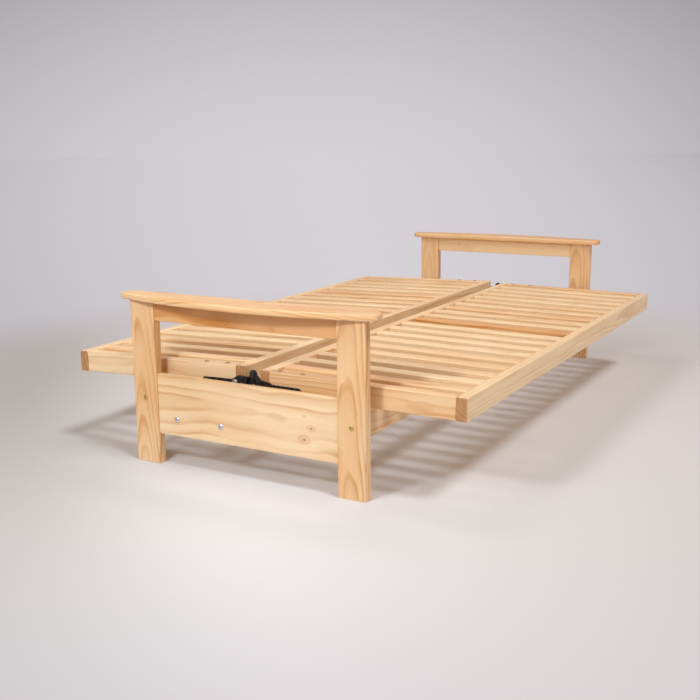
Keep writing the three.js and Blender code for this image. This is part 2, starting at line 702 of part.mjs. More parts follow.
for (const [label, side] of [["left", -1], ["right", 1]]) {
  for (const [end, facing] of [["front", -1], ["back", 1]]) {
    const y = -armAhead + facing * postPlace;
    sofaBed.add(piece(`${label}_${end}_post`, post(side, facing), pine));
    sofaBed.add(piece(`${label}_${end}_stretcher_bolt`, stretcherBolt(side, y), brass));
  }
  const boltHoles = bracketBoltPlaces.map((y) =>
    roundX(side, y, bracketBoltHeight, boltRadius + fit, boardInner - overrun, boardOuter + overrun, boltSides));
  const lowerBoard = cut(armRail(side, lowerBoardBottom, lowerBoardHeight), ...boltHoles);
  sofaBed.add(piece(`${label}_lower_board`, lowerBoard, pine));
  const upperRail = armRail(side, postHeight - upperRailHeight, upperRailHeight);
  sofaBed.add(piece(`${label}_upper_rail`, upperRail, pine));
  sofaBed.add(piece(`${label}_arm_board`, armBoard(side), palePine));
  sofaBed.add(piece(`${label}_bracket`, bracket(side), blackSteel));
  sofaBed.add(piece(`${label}_pivot_pin`, pivotPin(side), zinc));
  bracketBoltPlaces.forEach((y, i) => {
    sofaBed.add(piece(`${label}_bracket_bolt_${i + 1}`, bracketBolt(side, y), zinc));
  });
  back.add(piece(`${label}_back_arm`, backArm(side, pivotY, pivotZ), blackSteel));
  back.add(piece(`${label}_crease_pin`, creasePin(side), blackSteel));
  seat.add(piece(`${label}_seat_arm`, seatArm(side), blackSteel));
  seat.add(piece(`${label}_pawl`, pawl(side), blackSteel));
}
sofaBed.add(piece("front_stretcher", stretcher(-1), pine));
sofaBed.add(piece("back_stretcher", stretcher(1), pine));
sofaBed.add(back, seat);

export default sofaBed;
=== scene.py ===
import json
import math
import random

import bmesh
import bpy
from mathutils import Matrix, Vector


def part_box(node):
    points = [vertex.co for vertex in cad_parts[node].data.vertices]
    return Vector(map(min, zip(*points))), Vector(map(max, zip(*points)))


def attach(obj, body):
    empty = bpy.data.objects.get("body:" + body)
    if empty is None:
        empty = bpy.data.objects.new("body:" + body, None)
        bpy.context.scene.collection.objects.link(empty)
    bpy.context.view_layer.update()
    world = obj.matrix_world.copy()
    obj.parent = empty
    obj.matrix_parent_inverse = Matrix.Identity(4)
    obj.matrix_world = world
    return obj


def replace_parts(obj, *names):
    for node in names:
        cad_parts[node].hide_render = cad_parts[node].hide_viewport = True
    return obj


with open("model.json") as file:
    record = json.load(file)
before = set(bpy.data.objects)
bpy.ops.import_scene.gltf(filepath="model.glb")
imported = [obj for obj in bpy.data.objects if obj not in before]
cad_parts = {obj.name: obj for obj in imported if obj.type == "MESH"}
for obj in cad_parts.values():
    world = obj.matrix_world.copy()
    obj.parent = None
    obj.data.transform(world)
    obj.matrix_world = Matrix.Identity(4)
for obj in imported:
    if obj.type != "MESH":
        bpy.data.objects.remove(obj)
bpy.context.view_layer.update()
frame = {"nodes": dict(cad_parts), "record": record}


# Posts: two at each end of the bed, sawn square at the foot. Radiata pine, planed, sanded and sealed with a
# clear satin lacquer. They are flat-sawn, so wide faces show arches of orange latewood on cream earlywood.
MM = 0.001
EARLYWOOD = "F3DAB0"
WARM_EARLYWOOD = "E2AB70"
BLUSH = "E2BB92"  # the pinkish streaks between the rings
LATEWOOD = "C6863F"
END_EARLYWOOD = "D9A26A"  # sawn ends drink lacquer and darken
END_LATEWOOD = "7E4620"
KNOT_WOOD = "CC9660"
KNOT_BARK = "7A5230"
LACQUER_IOR = 1.5

# Rings: each board stretches RING to its own width of a year's growth.
RING = 9.0 * MM
YEAR = ((0.25, 0.04), (0.6, 0.38), (0.82, 1.0), (0.92, 0.75))  # shares of a year, and how dark it is then
UNEVEN_YEARS = 2.0  # how many rings growth runs ahead by in places, so that their widths differ
LOG_BEND = 34 * MM
RING_WAVER = 11 * MM
TONE_SHARE = 0.6  # how much of the latewood's darkness comes from the board's own tone
WARM_PATCHES = 1.2
LATEWOOD_FADES = (0.35, 0.65, 0.25, 1.0)  # a range of the noise, and what it becomes
STREAKS = (0.45, 0.7, 0.0, 0.3)

# Noise stretched along the log, from slow bends to single fibres: its length and width in mm, and its detail.
GRAIN = {
    "bend": (769.2, 400.0, 1.0),
    "waver": (200.0, 111.1, 2.0),
    "width": (1250.0, 41.67, 1.0),
    "patch": (333.3, 71.43, 2.0),
    "blush": (500.0, 22.22, 2.0),
    "fade": (250.0, 45.45, 2.0),
    "fibre": (100.0, 1.1, 3.0),  # drawn some thirty times wider than real fibres, so that it shows
}
FIBRE_SHADE = 0.14
FIBRE_DULLNESS = 0.16
LATEWOOD_PROUD = 0.6  # sanding leaves the hard latewood a little higher
RELIEF = 0.15 * MM
RELIEF_STRENGTH = 0.3

# Knots: up to three on a board. Their distances are in sizes of the knot.
MOST_KNOTS = 3
KNOT_SHAPE = (0.6, 1.0, 1.0)  # longer along the board than across
KNOT_PUSH = (0.0, 0.6, 0.6)
KNOT_PUSH_FALL = -0.3
KNOT_HEART = (1.2, 0.4, 0.0, 0.35)  # a range of distances, and how much it shows there
KNOT_SPECK = (0.3, 0.12, 0.0, 0.8)
KNOT_RIM_WIDTH = 0.16
KNOT_RIM_SHARE = 0.6


def linear(code):
    """A colour written as sRGB hex, as the linear values that a node takes."""
    values = [int(code[i:i + 2], 16) / 255 for i in (0, 2, 4)]
    return [v / 12.92 if v <= 0.04045 else ((v + 0.055) / 1.055) ** 2.4 for v in values] + [1.0]


def add(tree, kind, inputs=(), **settings):
    """Adds a node with its settings. Its inputs, in order or by name, are each a value or what feeds them."""
    node = tree.nodes.new(kind)
    for name, value in settings.items():
        setattr(node, name, value)
    for socket, value in inputs.items() if isinstance(inputs, dict) else enumerate(inputs):
        if isinstance(value, bpy.types.Node):
            value = value.outputs[0]
        if isinstance(value, bpy.types.NodeSocket):
            tree.links.new(value, node.inputs[socket])
        else:
            node.inputs[socket].default_value = value
    return node


def new_material(name):
    """An empty material and its node tree."""
    material = bpy.data.materials.new(name)
    material.use_nodes = True
    material.node_tree.nodes.clear()
    return material, material.node_tree


def part_round_knots(tree, log):
    """The place in the log, its grain pushed round the knots, and the distance from the nearest knot."""
    sizes = add(tree, "ShaderNodeAttribute", attribute_name="knot_sizes").outputs["Vector"]
    sizes = add(tree, "ShaderNodeSeparateXYZ", [sizes])
    for number in range(MOST_KNOTS):
        apart = add(tree, "ShaderNodeAttribute", attribute_name=f"knot_{number + 1}").outputs["Vector"]
        shaped = add(tree, "ShaderNodeVectorMath", [apart, KNOT_SHAPE], operation="MULTIPLY")
        square = add(tree, "ShaderNodeVectorMath", [shaped, shaped], operation="DOT_PRODUCT").outputs["Value"]
        push = add(tree, "ShaderNodeMath", [square, KNOT_PUSH_FALL], operation="MULTIPLY")
        push = add(tree, "ShaderNodeMath", [push], operation="EXPONENT")
        push = add(tree, "ShaderNodeMath", [push, sizes.outputs[number]], operation="MULTIPLY")
        push = add(tree, "ShaderNodeVectorMath", {0: apart, "Scale": push}, operation="SCALE")
        push = add(tree, "ShaderNodeVectorMath", [push, KNOT_PUSH], operation="MULTIPLY")
        log = add(tree, "ShaderNodeVectorMath", [log, push], operation="SUBTRACT").outputs[0]
        distance = add(tree, "ShaderNodeMath", [square], operation="SQRT")
        if number:
            distance = add(tree, "ShaderNodeMath", [nearest, distance], operation="MINIMUM")
        nearest = distance
    return log, nearest


def year_of_growth(tree, log, grain):
    """How far through its year each point grew, from its distance to the pith of the bent log."""
    place = add(tree, "ShaderNodeSeparateXYZ", [log])
    bend = add(tree, "ShaderNodeSeparateXYZ", [grain["bend"].outputs["Color"]])
    squares = 0.0
    for axis in (0, 1):
        aside = add(tree, "ShaderNodeMath", [bend.outputs[axis], 0.5], operation="SUBTRACT")
        aside = add(tree, "ShaderNodeMath", [aside, LOG_BEND, place.outputs[axis + 1]],
                    operation="MULTIPLY_ADD")
        squares = add(tree, "ShaderNodeMath", [aside, aside, squares], operation="MULTIPLY_ADD")
    radius = add(tree, "ShaderNodeMath", [squares], operation="SQRT")
    radius = add(tree, "ShaderNodeMath", [grain["waver"], RING_WAVER, radius], operation="MULTIPLY_ADD")
    years = add(tree, "ShaderNodeMath", [radius, RING], operation="DIVIDE")
    years = add(tree, "ShaderNodeMath", [grain["width"], UNEVEN_YEARS, years], operation="MULTIPLY_ADD")
    return add(tree, "ShaderNodeMath", [years], operation="FRACT")


def sawn_pine(name, pale, dark, dark_share, brightness, roughness):
    """Pine whose grain follows from each point's place in its log, written on the boards as attributes."""
    material, tree = new_material(name)
    log = add(tree, "ShaderNodeAttribute", attribute_name="log_place").outputs["Vector"]
    tone = add(tree, "ShaderNodeAttribute", attribute_name="board_tone").outputs["Fac"]
    log, knot = part_round_knots(tree, log)
    grain = {}
    for use, (length, width, detail) in GRAIN.items():
        cycles = (1 / (length * MM), 1 / (width * MM), 1 / (width * MM))
        stretched = add(tree, "ShaderNodeVectorMath", [log, cycles], operation="MULTIPLY")
        grain[use] = add(tree, "ShaderNodeTexNoise", {"Vector": stretched, "Scale": 1.0, "Detail": detail})

    # A year's growth darkens slowly into latewood and stops short.
    latewood = add(tree, "ShaderNodeValToRGB", [year_of_growth(tree, log, grain)])
    latewood.color_ramp.interpolation = "EASE"
    for end in latewood.color_ramp.elements:
        end.color = (0.0, 0.0, 0.0, 1.0)
    for position, grey in YEAR:
        stop = latewood.color_ramp.elements.new(position)
        stop.color = (grey, grey, grey, 1.0)
    strength = add(tree, "ShaderNodeMapRange", [grain["fade"], *LATEWOOD_FADES])
    late = add(tree, "ShaderNodeMath", [latewood, strength], operation="MULTIPLY")
    share = add(tree, "ShaderNodeMath", [tone, TONE_SHARE * dark_share, (1 - TONE_SHARE) * dark_share],
                operation="MULTIPLY_ADD")
    late = add(tree, "ShaderNodeMath", [late, share], operation="MULTIPLY", use_clamp=True)

    warmth = add(tree, "ShaderNodeMath", [grain["patch"], WARM_PATCHES, tone], operation="MULTIPLY_ADD")
    warmth = add(tree, "ShaderNodeMath", [warmth, WARM_PATCHES / 2], operation="SUBTRACT", use_clamp=True)
    pink = add(tree, "ShaderNodeMapRange", [grain["blush"], *STREAKS])
    colour = add(tree, "ShaderNodeMix", {0: warmth, 6: linear(pale), 7: linear(WARM_EARLYWOOD)},
                 data_type="RGBA")
    colour = add(tree, "ShaderNodeMix", {0: pink, 6: colour.outputs[2], 7: linear(BLUSH)}, data_type="RGBA")
    colour = add(tree, "ShaderNodeMix", {0: late, 6: colour.outputs[2], 7: linear(dark)}, data_type="RGBA")
    shade = add(tree, "ShaderNodeMath", [grain["fibre"], FIBRE_SHADE, brightness - FIBRE_SHADE / 2],
                operation="MULTIPLY_ADD")
    colour = add(tree, "ShaderNodeVectorMath", {0: colour.outputs[2], "Scale": shade}, operation="SCALE")

    # A knot is a little darker than the board, with a broken rim and a speck of bark.
    heart = add(tree, "ShaderNodeMapRange", [knot, *KNOT_HEART])
    rim = add(tree, "ShaderNodeMath", [knot, 1.0, KNOT_RIM_WIDTH], operation="COMPARE")
    rim = add(tree, "ShaderNodeMath", [rim, grain["fade"]], operation="MULTIPLY")
    rim = add(tree, "ShaderNodeMath", [rim, KNOT_RIM_SHARE], operation="MULTIPLY")
    speck = add(tree, "ShaderNodeMapRange", [knot, *KNOT_SPECK])
    colour = add(tree, "ShaderNodeMix", {0: heart, 6: colour, 7: linear(KNOT_WOOD)}, data_type="RGBA")
    colour = add(tree, "ShaderNodeMix", {0: rim, 6: colour.outputs[2], 7: linear(LATEWOOD)}, data_type="RGBA")
    colour = add(tree, "ShaderNodeMix", {0: speck, 6: colour.outputs[2], 7: linear(KNOT_BARK)},
                 data_type="RGBA")

    height = add(tree, "ShaderNodeMath", [latewood, LATEWOOD_PROUD, grain["fibre"]], operation="MULTIPLY_ADD")
    bump = add(tree, "ShaderNodeBump", {"Strength": RELIEF_STRENGTH, "Distance": RELIEF, "Height": height})
    dullness = add(tree, "ShaderNodeMath", [grain["fibre"], FIBRE_DULLNESS, roughness - FIBRE_DULLNESS / 2],
                   operation="MULTIPLY_ADD")
    shader = add(tree, "ShaderNodeBsdfPrincipled", {
        "Base Color": colour.outputs[2], "Roughness": dullness, "Normal": bump, "IOR": LACQUER_IOR})
    add(tree, "ShaderNodeOutputMaterial", [shader])
    return material


face_pine = sawn_pine("lacquered_pine", EARLYWOOD, LATEWOOD, dark_share=1.15, brightness=1.0, roughness=0.4)
end_pine = sawn_pine("pine_end_grain", END_EARLYWOOD, END_LATEWOOD, dark_share=1.6, brightness=0.74,
                     roughness=0.6)

chance = random.Random(7)
LOG_LENGTH = 9.0
FAR_FROM_KNOTS = 100.0
PITH_SLOPE = 0.02
ROUNDED_EDGE = 3.0 * MM
ARRIS = 0.7 * MM  # the cut ends are only rubbed with sandpaper
SQUARE = 0.999  # a face whose normal has more than this along an axis is flat


def mark_log(mesh, along, pith, ring, knots, tone, slope=PITH_SLOPE):
    """Writes where each point lay in its log, in metres along and across it from the pith, and its knots.

    The slope is how much the pith leaves the board along it, which draws the rings out into arches. The tone
    is 0 for a pale board and 1 for a dark and warm one. A knot has its place along the board and through it,
    and its size."""
    across, through = (axis for axis in (1, 0, 2) if axis != along)
    spans = [(min(v.co[i] for v in mesh.vertices), max(v.co[i] for v in mesh.vertices)) for i in range(3)]
    middle = [(least + most) / 2 for least, most in spans]
    shift = chance.uniform(0.0, LOG_LENGTH)
    scale = RING / ring
    spots = [[vertex.co[i] - middle[i] for i in (along, across, through)] for vertex in mesh.vertices]
    places = [(a + shift, (b + pith[0]) * scale, (c + pith[1] + slope * a) * scale) for a, b, c in spots]
    sizes = [knot[2] for knot in knots] + [0.0] * (MOST_KNOTS - len(knots))
    mesh.attributes.new("board_tone", "FLOAT", "POINT").data.foreach_set("value", [tone] * len(spots))
    mesh.attributes.new("log_place", "FLOAT_VECTOR", "POINT").data.foreach_set("vector", sum(places, ()))
    mesh.attributes.new("knot_sizes", "FLOAT_VECTOR", "POINT").data.foreach_set("vector", sizes * len(spots))
    for number in range(MOST_KNOTS):
        mark = [FAR_FROM_KNOTS] * (3 * len(spots))
        if number < len(knots):
            knot_along, knot_through, size = knots[number]
            mark = []
            for a, b, c in spots:
                mark += [(a - knot_along) / size, 0.0, (c - knot_through) / size]
        mesh.attributes.new(f"knot_{number + 1}", "FLOAT_VECTOR", "POINT").data.foreach_set("vector", mark)


def show(name, mesh, body, slot, *materials):
    """Puts a finished mesh in the scene as a piece that moves with a body."""
    piece = bpy.data.objects.new(name, mesh)
    bpy.context.scene.collection.objects.link(piece)
    for material in materials:
        mesh.materials.append(material)
    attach(piece, body)
    return piece


def board(name, low, high, along, body, pith, ring, tone, ease=ROUNDED_EDGE, turn=None, knots=(), slot="pine",
          slope=PITH_SLOPE):
    """A straight board between two corners, long edges rounded, ends sawn square, turned into place."""
    bm = bmesh.new()
    bmesh.ops.create_cube(bm, size=1.0)
    for vertex in bm.verts:
        vertex.co = Vector([(low[i] if vertex.co[i] < 0 else high[i]) for i in range(3)])
    long_edges = [e for e in bm.edges if abs(e.verts[0].co[along] - e.verts[1].co[along]) > MM]
    bmesh.ops.bevel(bm, geom=long_edges, offset=ease, segments=4, profile=0.5, affect="EDGES")
    ends = [f for f in bm.faces if abs(f.normal[along]) > SQUARE]
    rims = list({edge for face in ends for edge in face.edges})
    bmesh.ops.bevel(bm, geom=rims, offset=ARRIS, segments=2, profile=0.5, affect="EDGES")
    bm.normal_update()
    for face in bm.faces:
        face.smooth = max(abs(n) for n in face.normal) < SQUARE
        face.material_index = int(abs(face.normal[along]) > 0.5)
    mesh = bpy.data.meshes.new(name)
    bm.to_mesh(mesh)
    bm.free()
    mark_log(mesh, along, pith, ring, knots, tone, slope)
    if turn:
        mesh.transform(turn)
    return show(name, mesh, body, slot, face_pine, end_pine)


POST_RING = 12.0 * MM
POST_PITH_ASIDE = 20 * MM
POST_PITH_DEPTH = (30 * MM, 50 * MM)
POST_SLOPE = 0.08
POST_TONE = {"left": 0.5, "right": 0.1}
for side, facing in (("left", -1), ("right", 1)):
    for end in ("front", "back"):
        node = f"{side}_{end}_post"
        low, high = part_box(node)
        pith = (chance.uniform(-POST_PITH_ASIDE, POST_PITH_ASIDE), facing * chance.uniform(*POST_PITH_DEPTH))
        piece = board(f"{node}_timber", low, high, 2, "base", pith, POST_RING, POST_TONE[side],
                      slope=facing * POST_SLOPE)
        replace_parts(piece, node)


# Lower boards and upper rails: wide flat-sawn pine boards tenoned into the posts, just behind their faces.
# The near lower board has a pale knot and a barky one by the front post, and a pin knot above them.
BOARD_KNOTS = {
    "left_lower_board": ((-0.202, -0.039, 0.011), (-0.225, -0.004, 0.008), (-0.203, 0.029, 0.003)),
    "left_upper_rail": ((-0.105, -0.022, 0.007), (0.052, -0.020, 0.009)),
    "right_lower_board": ((0.17, 0.03, 0.009),),
    "right_upper_rail": ((0.21, 0.004, 0.004),),
}
BOARD_TONE_AND_SHADE = {
    "left_lower_board": 0.15,
    # the near upper rail's 1.5 is darker than any board's tone: painted shade, standing in for the arm
    # board's overhang above it
    "left_upper_rail": 1.5,
    "right_lower_board": 0.15,
    "right_upper_rail": -0.3,
}
BOARD_RING = 19.0 * MM
BOARD_PITH_ASIDE = 90 * MM
BOARD_PITH_DEPTH = 10 * MM
BOARD_EDGE = 2.5 * MM
JOINT = 0.3 * MM
for node, knots in BOARD_KNOTS.items():
    side = node.split("_")[0]
    low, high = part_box(node)
    low.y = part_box(f"{side}_front_post")[1].y + JOINT
    high.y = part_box(f"{side}_back_post")[0].y - JOINT
    pith = (BOARD_PITH_ASIDE if side == "left" else -BOARD_PITH_ASIDE,
            chance.uniform(-BOARD_PITH_DEPTH, BOARD_PITH_DEPTH))
    piece = board(f"{node}_timber", low, high, 1, "base", pith, BOARD_RING, BOARD_TONE_AND_SHADE[node], BOARD_EDGE,
                  knots=knots)
    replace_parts(piece, node)


# Arm boards: flat pine boards screwed down on the arms, straight inside and bowed outside. Their corners are
# sawn round and their rims are rounded with a router.
ARM_BOW = 57 * MM
INNER_CORNER = 38 * MM
OUTER_CORNER = 12 * MM
ARM_RIM = 4 * MM
ARM_PITH = (50 * MM, -90 * MM)
ARM_RING = 8 * MM
ARM_TONE = 0.5
BOW_STEPS = 48
INNER_STEPS = 12
OUTER_STEPS = 8


def arc(x, y, radius, start, end, steps):
    """Points along an arc, its angles in degrees."""
    angles = [math.radians(start + (end - start) * i / steps) for i in range(steps + 1)]
    return [(x + radius * math.cos(a), y + radius * math.sin(a)) for a in angles]


for side, facing in (("left", -1), ("right", 1)):
    node = f"{side}_arm_board"
    low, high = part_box(node)
    middle = (low.y + high.y) / 2
    half = (high.y - low.y) / 2
    inside, outside = sorted((abs(low.x), abs(high.x)))
    bow = (half * half + ARM_BOW * ARM_BOW) / (2 * ARM_BOW)
    centre = outside - bow
    reach = math.degrees(math.asin((half - OUTER_CORNER) / (bow - OUTER_CORNER)))
    corner_x = centre + (bow - OUTER_CORNER) * math.cos(math.radians(reach))
    corner_y = half - OUTER_CORNER
    inner_x = inside + INNER_CORNER
    inner_y = half - INNER_CORNER
    outline = (arc(centre, 0, bow, -reach, reach, BOW_STEPS)
               + arc(corner_x, corner_y, OUTER_CORNER, reach, 90, OUTER_STEPS)[1:]
               + arc(inner_x, inner_y, INNER_CORNER, 90, 180, INNER_STEPS)
               + arc(inner_x, -inner_y, INNER_CORNER, 180, 270, INNER_STEPS)
               + arc(corner_x, -corner_y, OUTER_CORNER, 270, 360 - reach, OUTER_STEPS)[:-1])
    bm = bmesh.new()
    base = bm.faces.new([bm.verts.new((facing * x, y + middle, low.z)) for x, y in outline])
    swept = bmesh.ops.extrude_face_region(bm, geom=[base])
    bmesh.ops.translate(bm, verts=[g for g in swept["geom"] if isinstance(g, bmesh.types.BMVert)],
                        vec=(0, 0, high.z - low.z))
    bmesh.ops.recalc_face_normals(bm, faces=bm.faces)
    rims = [e for e in bm.edges if abs(e.verts[0].co.z - e.verts[1].co.z) < MM / 10]
    bmesh.ops.bevel(bm, geom=rims, offset=ARM_RIM, segments=4, profile=0.5, affect="EDGES")
    bm.normal_update()
    for face in bm.faces:
        face.smooth = abs(face.normal.z) < SQUARE
    mesh = bpy.data.meshes.new(node)
    bm.to_mesh(mesh)
    bm.free()
    mark_log(mesh, 1, (facing * ARM_PITH[0], ARM_PITH[1]), ARM_RING, (), ARM_TONE)
    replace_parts(show(f"{node}_timber", mesh, "base", "pale_pine", face_pine), node)


# Stretchers: two pine rails from arm to arm, one in front and one behind. A bolt through each post goes into
# the end of a stretcher, and the panels lie on both.
STRETCHER_PITH = (70 * MM, 12 * MM)
STRETCHER_RING = 8.0 * MM
STRETCHER_TONE = 0.3
STRETCHER_KNOTS = {"front": ((0.31, 0.012, 0.006),), "back": ()}
for end, knots in STRETCHER_KNOTS.items():
    node = f"{end}_stretcher"
    low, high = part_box(node)
    piece = board(f"{node}_timber", low, high, 0, "base", STRETCHER_PITH, STRETCHER_RING, STRETCHER_TONE,
                  knots=knots)
    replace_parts(piece, node)


# Seat and back panels: each is two long rails with end rails and a centre rail screwed between them, and it
# hangs a degree or so out of level from the crease pins. The long rails show upright rings at their ends.
RAIL_THICKNESS = 31.5 * MM
INNER_RAIL_PITH = {"seat": (60 * MM, 50 * MM), "back": (100 * MM, 10 * MM)}
INNER_RAIL_RING = 11.0 * MM
INNER_RAIL_TONE = 0.1
OUTER_RAIL_PITH = (75 * MM, 30 * MM)
OUTER_RAIL_RING = 13.0 * MM
OUTER_RAIL_TONE = -0.05
SHORT_RAIL_PITH_ASIDE = (40 * MM, 70 * MM)
SHORT_RAIL_PITH_DEPTH = (-10 * MM, 20 * MM)
SHORT_RAIL_RING = 9.0 * MM
END_RAIL_TONE = {"seat": 0.45, "back": -0.1}
CENTRE_RAIL_TONE = 1.0

pin_low, pin_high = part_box("left_crease_pin")
crease = Vector((0, (pin_low.y + pin_high.y) / 2, (pin_low.z + pin_high.z) / 2))
panel_turns = {}
for mount in frame["record"]["mounts"]:
    if mount["name"].endswith("mattress_rest"):
        tilt = Matrix.Rotation(-math.asin(mount["axis"][1]), 4, "X")
        panel = mount["name"].split("_")[0]
        panel_turns[panel] = Matrix.Translation(crease) @ tilt @ Matrix.Translation(-crease)


def own_box(node, turn):
    """The corners of a panel's CAD piece, measured square to the panel."""
    points = [turn.inverted() @ v.co for v in frame["nodes"][node].data.vertices]
    return [Vector([pick(p[i] for p in points) for i in range(3)]) for pick in (min, max)]


panels = {}
for panel, turn in panel_turns.items():
    body = f"{panel}_frame"
    inner = own_box(f"{panel}_inner_rail", turn)
    outward = 1 if inner[0].y > crease.y else -1
    if panel == "back":
        outer_node = "back_outer_rail_with_slats"
        low, high = own_box(outer_node, turn)
        outer = (Vector((low.x, high.y - RAIL_THICKNESS, low.z)), high)
    else:
        outer_node = "seat_outer_rail"
        outer = own_box(outer_node, turn)
    panels[panel] = (inner, outer)
    piece = board(f"{panel}_inner_rail_timber", *inner, 0, body, INNER_RAIL_PITH[panel], INNER_RAIL_RING,
                  INNER_RAIL_TONE, turn=turn)
    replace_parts(piece, f"{panel}_inner_rail")
    pith = (OUTER_RAIL_PITH[0], outward * OUTER_RAIL_PITH[1])
    piece = board(f"{panel}_outer_rail_timber", *outer, 0, body, pith, OUTER_RAIL_RING, OUTER_RAIL_TONE,
                  turn=turn)
    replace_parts(piece, outer_node)
    for name in ("left_end_rail", "right_end_rail", "centre_rail"):
        low, high = own_box(f"{panel}_{name}", turn)
        pith = (chance.uniform(*SHORT_RAIL_PITH_ASIDE), chance.uniform(*SHORT_RAIL_PITH_DEPTH))
        tone = CENTRE_RAIL_TONE if name == "centre_rail" else END_RAIL_TONE[panel]
        piece = board(f"{panel}_{name}_timber", low, high, 1, body, pith, SHORT_RAIL_RING, tone, turn=turn)
        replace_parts(piece, f"{panel}_{name}")


# Slats: eighteen to a panel, 42 by 20 mm with well rounded edges, tenoned into the long rails and glued.
# Each is its own board, so their grain and tone differ.
SLAT_COUNT = 18
SLAT = Vector((42, 0, 20)) * MM
SLAT_EDGE = 4.0 * MM
SLAT_SETBACK = 1 * MM
SLAT_PITH_ASIDE = 50 * MM
SLAT_PITH_DEPTH = (20 * MM, 80 * MM)
SLAT_RINGS = (4.5, 8.0)  # in mm
SLAT_TONES = (-0.15, 0.42)
slat_boxes = [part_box(f"seat_slat_{number:02d}") for number in range(1, SLAT_COUNT + 1)]
slat_places = sorted((low.x + high.x) / 2 for low, high in slat_boxes)
for panel, turn in panel_turns.items():
    inner, outer = panels[panel]
    start, stop = (inner[1].y, outer[0].y) if panel == "back" else (outer[1].y, inner[0].y)
    top = inner[1].z - SLAT_SETBACK
    for number, x in enumerate(slat_places, 1):
        low = Vector((x - SLAT.x / 2, start + JOINT, top - SLAT.z))
        high = Vector((x + SLAT.x / 2, stop - JOINT, top))
        pith = (chance.uniform(-SLAT_PITH_ASIDE, SLAT_PITH_ASIDE),
                chance.choice((-1, 1)) * chance.uniform(*SLAT_PITH_DEPTH))
        ring = chance.uniform(*SLAT_RINGS) * MM
        tone = chance.uniform(*SLAT_TONES)
        piece = board(f"{panel}_slat_{number:02d}_timber", low, high, 1, f"{panel}_frame", pith, ring, tone,
                      SLAT_EDGE, turn, slot="pale_pine")
        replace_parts(piece, f"seat_slat_{number:02d}" if panel == "seat" else "back_outer_rail_with_slats")


# Click-clack hinge: brackets, arms, pawls and crease pins of 3 mm steel, pressed, riveted and dipped in black
# enamel. Greyer patches in it are painted highlights, standing in for speckled glints, and it dried with a
# slight orange peel.
ENAMEL = "141518"
ENAMEL_HIGHLIGHT = "3A3C40"
ENAMEL_IOR = 1.5
ORANGE_PEEL = 2.5 * MM
PEEL_DEPTH = 0.3 * MM
ENAMEL_PATCH = 7.143 * MM
HIGHLIGHT_PATCHES = (0.5, 0.62, 0.0, 1.0)  # a range of the noise, and what it becomes
ENAMEL_GLOSS = (0.35, 0.65, 0.18, 0.42)
STEEL_EDGE = 0.5 * MM
THIN_STEEL_EDGE = 0.4 * MM
WELD = MM / 100
HEAD_CUT = MM / 10  # plain bolt heads are cut off this far above what they clamp
SHARPEST_ROUND = math.radians(40)  # faces that meet at less are one round surface
SHADED_ROUND = math.radians(30)

black_steel, tree = new_material("black_enamelled_steel")
place = add(tree, "ShaderNodeTexCoord").outputs["Object"]
peel = add(tree, "ShaderNodeTexNoise", {"Vector": place, "Scale": 1 / ORANGE_PEEL, "Detail": 2.0})
patches = add(tree, "ShaderNodeTexNoise", {
    "Vector": place, "Scale": 1 / ENAMEL_PATCH, "Detail": 4.0, "Roughness": 0.65})
# the greyer patches are painted highlights
painted_highlights = add(tree, "ShaderNodeMapRange", [patches, *HIGHLIGHT_PATCHES])
colour = add(tree, "ShaderNodeMix", {0: painted_highlights, 6: linear(ENAMEL), 7: linear(ENAMEL_HIGHLIGHT)}, data_type="RGBA")
gloss = add(tree, "ShaderNodeMapRange", [patches, *ENAMEL_GLOSS])
bump = add(tree, "ShaderNodeBump", {"Strength": 1.0, "Distance": PEEL_DEPTH, "Height": peel})
shader = add(tree, "ShaderNodeBsdfPrincipled", {
    "Base Color": colour.outputs[2], "Roughness": gloss, "Normal": bump, "IOR": ENAMEL_IOR})
add(tree, "ShaderNodeOutputMaterial", [shader])


def round_edges(piece, width, material):
    """Gives a steel piece its finish, and welds and rounds its sharp edges."""
    piece.data.materials.clear()
    piece.data.materials.append(material)
    weld = piece.modifiers.new("welded_corners", "WELD")
    weld.merge_threshold = WELD
    rounding = piece.modifiers.new("rounded_edges", "BEVEL")
    rounding.width = width
    rounding.segments = 2
    rounding.limit_method = "ANGLE"
    rounding.angle_limit = SHARPEST_ROUND
    rounding.harden_normals = True


def trimmed(node, place, normal, body, slot, material):
    """Shows a CAD piece with its plain bolt heads cut off at a plane.

    Gives the middles of the front and back halves of what is cut away, which for an arm are its two heads."""
    source = frame["nodes"][node].data
    bm = bmesh.new()
    bm.from_mesh(source)
    bmesh.ops.remove_doubles(bm, verts=bm.verts, dist=WELD)
    bmesh.ops.bisect_plane(bm, geom=[*bm.verts, *bm.edges, *bm.faces], plane_co=place, plane_no=normal,
                           clear_outer=True)
    bmesh.ops.holes_fill(bm, edges=[edge for edge in bm.edges if edge.is_boundary])
    for face in bm.faces:
        face.smooth = True
    mesh = bpy.data.meshes.new(f"{node}_shown")
    bm.to_mesh(mesh)
    bm.free()
    mesh.set_sharp_from_angle(angle=SHADED_ROUND)
    piece = show(f"{node}_shown", mesh, body, slot)
    round_edges(piece, THIN_STEEL_EDGE, material)
    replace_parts(piece, node)
    beyond = [v.co.copy() for v in source.vertices if (v.co - place).dot(normal) > 2 * HEAD_CUT]
    between = (min(point.y for point in beyond) + max(point.y for point in beyond)) / 2
    heads = []
    for group in ([p for p in beyond if p.y < between], [p for p in beyond if p.y >= between]):
        spot = Vector([(min(p[i] for p in group) + max(p[i] for p in group)) / 2 for i in range(3)])
        heads.append(spot - normal * (spot - place).dot(normal))
    return heads


